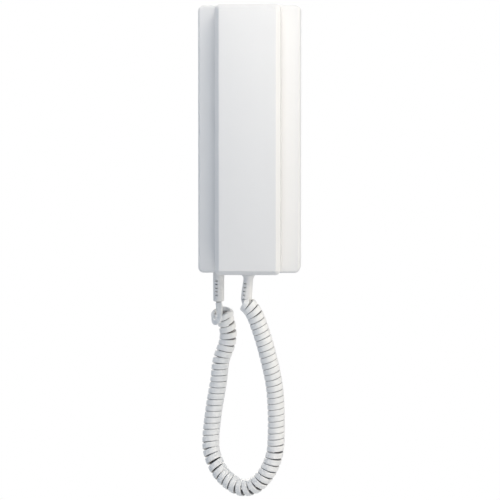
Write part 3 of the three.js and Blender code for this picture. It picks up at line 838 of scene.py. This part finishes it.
def make_front_cover():
    """The base's front: two wells for the handset's cups, sound slots, and the ways through its walls."""
    half_width, half_height = COVER_HIGH[0], COVER_HIGH[2]
    front, back = COVER_LOW[1], COVER_HIGH[1]
    inside = front + WALL
    cover = tray("front_cover", half_width, half_height, BASE_CORNER, back, front, BASE_EDGE)
    added = [cup_body("pocket", inside - OVERLAP, WELL_FLOOR + WELL_WALL, WELL_CLEARANCE + WELL_WALL, centre)
             for centre in CUP_CENTRES]
    boss = [(3.6, inside - OVERLAP), (3.6, back - 0.3)]
    added += [turned("boss", boss, (x, 0, z)) for x, z in COVER_SCREWS]
    combine(cover, added, "UNION")
    cutters = [cup_body("well", front, WELL_FLOOR, WELL_CLEARANCE, centre, start_lip=0.9, end_round=1.2)
               for centre in CUP_CENTRES]
    cutters += [turned("bore", [(1.5, -22), (1.5, 0)], (x, 0, z), sides=20) for x, z in COVER_SCREWS]
    for row in range(-2, 3):
        rings = [rounded_ring(y, 11, 1, 0.98, centre_z=5 * row) for y in (front - 1, inside + 1)]
        cutters.append(loft("sound_slot", rings))
    x, z = middle("hook_plunger")
    collar = [(3.9, front - 1), (3.9, front), (3.3, front + 0.6), (3.3, inside + 1)]
    cutters.append(turned("plunger_hole", collar, (x, 0, z)))
    cutters.append(block("switch_slot", (-half_width - 1, SWITCH_SLOT_Y[0], SWITCH_SLOT_Z[0]),
                         (-half_width + WALL + 1, SWITCH_SLOT_Y[1], SWITCH_SLOT_Z[1])))
    x, y, _ = BASE_BOOT_MOUTH
    boot_hole = [(3.5, -half_height - 1), (3.5, -half_height + 3)]
    cutters.append(turned("boot_hole", boot_hole, (x, y, 0), axis="Z"))
    combine(cover, cutters, "DIFFERENCE")
    return settle(finish_surface(cover), "shell", "base", "base_front_cover")


def make_rear_housing():
    """The base's back: ribs and posts inside, the line window, and slots for the bracket's hooks."""
    half_width, half_height = HOUSING_HIGH[0], HOUSING_HIGH[2]
    housing = tray("rear_housing", half_width, half_height, BASE_CORNER, 0.0, HOUSING_FRONT, HOUSING_EDGE)
    ribs = [block("rib", (x - 1, HOUSING_FLOOR - OVERLAP, -60), (x + 1, -1.5, 60)) for x in (-22, 22)]
    posts = [turned("post", [(2.5, HOUSING_FRONT - 2), (2.5, HOUSING_FLOOR)], (x, 0, z))
             for x in (-27, 27) for z in (-12, 56)]
    combine(housing, ribs + posts, "UNION")
    cutters = [block("window", (-10, -12, -35), (10, 2, -15))]
    cutters += [block("hook_slot", (x - 3.4, -12, z - 0.4), (x + 3.4, HOUSING_FLOOR + 1, z + 6.5))
                for x in (-17, 17) for z in (53, -53)]
    cutters += [turned("hole", [(1.6, -12), (1.6, 1)], (x, 0, z), sides=20) for x, z in COVER_SCREWS]
    combine(housing, cutters, "DIFFERENCE")
    return settle(finish_surface(housing), "shell", "base", "base_rear_housing")


# ---------------------------------------------------------------------------
# Handset
# ---------------------------------------------------------------------------

def cord_hole():
    """A cutter for the hole that the boot passes through, half of it in each shell."""
    x, y = BOOT_ROUTE[0][0] / MM, BOOT_ROUTE[0][1] / MM
    low = FRONT_LOW[2]
    return turned("cord_hole", [(3.5, low - 1), (3.5, low + 3)], (x, y, 0), axis="Z")


def make_handset_front():
    """The handset's front: a slightly crowned face with a sloped edge, and two screw bosses."""
    face, back = FRONT_LOW[1], FRONT_HIGH[1]
    shell = tray("handset_front", FRONT_HIGH[0], FRONT_HIGH[2], HANDSET_CORNER, back, face, HANDSET_CHAMFER,
                 crown=HANDSET_CROWN, ease=HANDSET_EASE)
    bosses = [turned("boss", [(3.2, face + WALL - OVERLAP), (3.2, back)], (0, 0, z)) for z in HANDSET_SCREWS]
    combine(shell, bosses, "UNION")
    holes = [turned("bore", [(1.35, face + WALL + 0.6), (1.35, back + 1)], (0, 0, z), sides=20)
             for z in HANDSET_SCREWS]
    combine(shell, holes + [cord_hole()], "DIFFERENCE")
    return settle(finish_surface(shell), "shell", "handset", "handset_front_shell")


def grille(centre, rings):
    """Round sound holes in a cup's face: rings are (count, radius) pairs."""
    profile = [(0.9, CUP_FACE - 4), (0.9, CUP_FACE - 1.2), (1.3, CUP_FACE - 0.6), (1.3, CUP_FACE + 1)]
    holes = []
    for count, ring_radius in rings:
        for index in range(count):
            angle = 2 * math.pi * index / count
            x = ring_radius * math.cos(angle)
            z = centre + CUP_FACE_OFFSET + ring_radius * math.sin(angle)
            holes.append(turned("hole", profile, (x, 0, z), sides=20))
    return holes


def dish(centre, radius, depth):
    """A shallow round hollow in a cup's face."""
    z = centre + CUP_FACE_OFFSET
    profile = [(radius * math.sqrt(step / 8), CUP_FACE - depth * (1 - step / 8)) for step in range(9)]
    return turned("dish", profile + [(radius + 0.3, CUP_FACE + 1)], (0, 0, z), sides=64)


def make_handset_rear():
    """The handset's rear: the ear and mouth cups with their sound holes, and the keypad's window."""
    front, face = REAR_LOW[1], HANDSET_REAR
    half_width, half_height = REAR_HIGH[0], REAR_HIGH[2]
    shell = tray("handset_rear", half_width, half_height, HANDSET_CORNER, front, face, HANDSET_REAR_EDGE)
    cups = [cup_body("cup", face - 1, CUP_FACE, 0, centre, end_round=1.6) for centre in CUP_CENTRES]
    bosses = [turned("boss", [(4.4, -36), (4.4, face - 1)], (0, 0, z)) for z in HANDSET_SCREWS]
    combine(shell, cups + bosses, "UNION")
    cutters = [cup_body("hollow", face - WALL - 1, CUP_FACE - 2, -2, centre) for centre in CUP_CENTRES]
    well = [(1.6, -38), (1.6, -33.6), (3.4, -33.6), (3.4, face - 0.3), (3.8, face + 1)]
    cutters += [turned("well", well, (0, 0, z)) for z in HANDSET_SCREWS]
    window = [rounded_ring(y, KEYPAD_HALF_WIDTH + flare, KEYPAD_HALF_HEIGHT + flare, 2.5 + flare)
              for y, flare in ((face - 4, 0), (face - 0.4, 0), (face, 0.4), (face + 1, 0.4))]
    cutters.append(loft("keypad_window", window))
    combine(shell, cutters, "DIFFERENCE")
    ear, mouth = CUP_CENTRES
    combine(shell, [dish(ear, 15.5, 0.9), dish(mouth, 9, 0.6)], "DIFFERENCE")
    holes = grille(ear, [(1, 0), (6, 4.5), (12, 9)]) + grille(mouth, [(1, 0), (4, 3.6)])
    combine(shell, holes + [cord_hole()], "DIFFERENCE")
    return settle(finish_surface(shell), "shell", "handset", "handset_rear_shell")


def key_cap(name, x, z, foot, top):
    """A key: a flange under the panel and a cap with a rounded edge and a dished top."""
    rings = [rounded_ring(foot, *KEY_FLANGE, z, x), rounded_ring(KEY_FLANGE_TOP, *KEY_FLANGE, z, x),
             rounded_ring(KEY_FLANGE_TOP, KEY_HALF_WIDTH, KEY_HALF_HEIGHT, KEY_CORNER, z, x)]
    for step in range(6):
        angle = math.radians(90 * step / 5)
        inset = KEY_EDGE * (1 - math.cos(angle)) + 0.25 * step / 5
        rings.append(rounded_ring(top - KEY_EDGE * (1 - math.sin(angle)), KEY_HALF_WIDTH - inset,
                                  KEY_HALF_HEIGHT - inset, KEY_CORNER - 0.6 * inset, z, x))
    for share in (0.2, 0.4, 0.6, 0.8, 0.95):
        depth = KEY_DISH * (1 - (1 - share) ** 2)
        rings.append(rounded_ring(top - depth, (KEY_HALF_WIDTH - 1.05) * (1 - share),
                                  (KEY_HALF_HEIGHT - 1.05) * (1 - share), (KEY_CORNER - 0.6) * (1 - share),
                                  z, x))
    return loft(name, rings)


def key_symbol(name, symbol, x, z, top):
    """A key's symbol as a thin body lying on its top, to be read from behind the handset."""
    text = bpy.data.curves.new(name, "FONT")
    text.body = symbol
    text.size = (STAR_SIZE if symbol == "*" else SYMBOL_SIZE) * MM
    text.extrude = SYMBOL_EXTRUDE * MM
    text.align_x = "CENTER"
    text.align_y = "CENTER"
    maker = bpy.data.objects.new("text", text)
    bpy.context.collection.objects.link(maker)
    depsgraph = bpy.context.evaluated_depsgraph_get()
    mesh = bpy.data.meshes.new_from_object(maker.evaluated_get(depsgraph))
    bpy.data.objects.remove(maker)
    spot = np.array((x, top - SYMBOL_SINK, z)) * MM
    mesh.transform(Matrix(((-1, 0, 0, spot[0]), (0, 0, 1, spot[1]), (0, 1, 0, spot[2]), (0, 0, 0, 1))))
    made = bpy.data.objects.new(name, mesh)
    bpy.context.collection.objects.link(made)
    return made


def make_key(name, symbol):
    """A key with its symbol printed on it."""
    node = f"key_{name}"
    low, high = extent(node)
    x, z = middle(node)
    cap = key_cap(f"keycap_{name}", x, z, low[1], high[1])
    settle(finish_surface(cap), "key", node, node)
    settle(key_symbol(f"key_symbol_{name}", symbol, x, z, high[1]), "ink", node, slot="key")


make_front_cover()
make_rear_housing()
make_handset_front()
make_handset_rear()
for digit in "0123456789":
    make_key(digit, digit)
make_key("star", "*")
make_key("hash", "#")


# ---------------------------------------------------------------------------
# CAD nodes that stay
# ---------------------------------------------------------------------------

def keep_nodes():
    """Every CAD node that isn't replaced gets its material and eased edges."""
    slots = {row["node"]: row["material_slot"] for row in frame["record"]["subparts"]}
    for name, node in frame["nodes"].items():
        if node.hide_render:
            continue
        node.data.materials.clear()
        node.data.materials.append(MATERIALS[slots[name]])
        eased = node.modifiers.new("eased edges", "BEVEL")
        eased.width = SMALL_BEVEL * MM
        eased.segments = 2
        eased.limit_method = "ANGLE"
        eased.angle_limit = math.radians(40)


keep_nodes()


# ---------------------------------------------------------------------------
# Studio
# ---------------------------------------------------------------------------

FLOOR_RADIUS = 1500
FLOOR_LEVEL = -0.62  # in metres, well below the cord
PHONE = (0.0, -0.04, -0.05)  # the phone's middle, in metres
# Name, place, target, size, power in watts and colour of each light, in metres.
LIGHTS = [
    ("key", (0.07, -0.34, 0.36), (0.0, -0.04, -0.02), (0.26, 0.26), 1.18, (1.0, 0.94, 0.87)),
    ("side", (0.9, -0.35, 0.1), PHONE, (0.6, 0.9), 4.6, (1.0, 0.885, 0.72)),
    ("front", (0.05, -1.8, 0.1), PHONE, (0.5, 0.5), 2.7, (0.95, 0.97, 1.0)),
    ("left", (-0.9, -0.35, 0.0), PHONE, (0.6, 0.9), 0.8, (1.0, 0.88, 0.825)),
    ("low", (0.1, -0.34, -0.4), (0.0, -0.03, -0.22), (0.2, 0.2), 0.4, (1.0, 0.89, 0.78)),
    ("back", (-0.6, 1.0, 0.6), PHONE, (1.0, 1.0), 12.0, (1.0, 0.91, 0.8)),
]


def area_light(name, place, target, size, power, colour):
    data = bpy.data.lights.new(name, "AREA")
    data.shape = "RECTANGLE"
    data.size, data.size_y = size
    data.energy = power
    data.color = colour
    lamp = bpy.data.objects.new(name, data)
    lamp.location = place
    lamp.rotation_euler = (Vector(target) - Vector(place)).to_track_quat("-Z", "Y").to_euler()
    bpy.context.collection.objects.link(lamp)


def make_world():
    """White surroundings, to look at and in reflections, whose light on matt surfaces is dimmer."""
    world = bpy.data.worlds.new("studio")
    world.use_nodes = True
    bpy.context.scene.world = world
    tree = world.node_tree
    backdrop = tree.nodes["Background"]
    backdrop.inputs["Color"].default_value = (1, 1, 1, 1)
    backdrop.inputs["Strength"].default_value = 1.0
    ambient = tree.nodes.new("ShaderNodeBackground")
    ambient.inputs["Color"].default_value = (0.643, 0.80, 1.0, 1)
    ambient.inputs["Strength"].default_value = 0.345
    path = tree.nodes.new("ShaderNodeLightPath")
    either = tree.nodes.new("ShaderNodeMath")
    either.operation = "MAXIMUM"
    tree.links.new(path.outputs["Is Camera Ray"], either.inputs[0])
    tree.links.new(path.outputs["Is Glossy Ray"], either.inputs[1])
    mix = tree.nodes.new("ShaderNodeMixShader")
    tree.links.new(either.outputs["Value"], mix.inputs["Fac"])
    tree.links.new(ambient.outputs["Background"], mix.inputs[1])
    tree.links.new(backdrop.outputs["Background"], mix.inputs[2])
    tree.links.new(mix.outputs["Shader"], tree.nodes["World Output"].inputs["Surface"])


def make_floor():
    """A pale floor that glows a little, so that it stays pale. Matt surfaces get no light from it."""
    bm = bmesh.new()
    bmesh.ops.create_circle(bm, cap_ends=True, radius=FLOOR_RADIUS, segments=96)
    floor = object_from(bm, "floor")
    floor.location.z = FLOOR_LEVEL
    floor.visible_diffuse = False
    shader = Shader("pale_floor", roughness=0.8)
    dark, light = (0.90, 0.87, 0.81), (0.93, 0.90, 0.84)
    shader.colour(shader.ramp(shader.noise(3, 2), (0.3, dark), (0.7, light)))
    shader.bsdf.inputs["Emission Color"].default_value = (1.0, 0.97, 0.92, 1)
    shader.bsdf.inputs["Emission Strength"].default_value = 0.55
    floor.data.materials.append(shader.material)


make_world()
for light in LIGHTS:
    area_light(*light)
make_floor()
bpy.context.scene.view_settings.view_transform = "Standard"
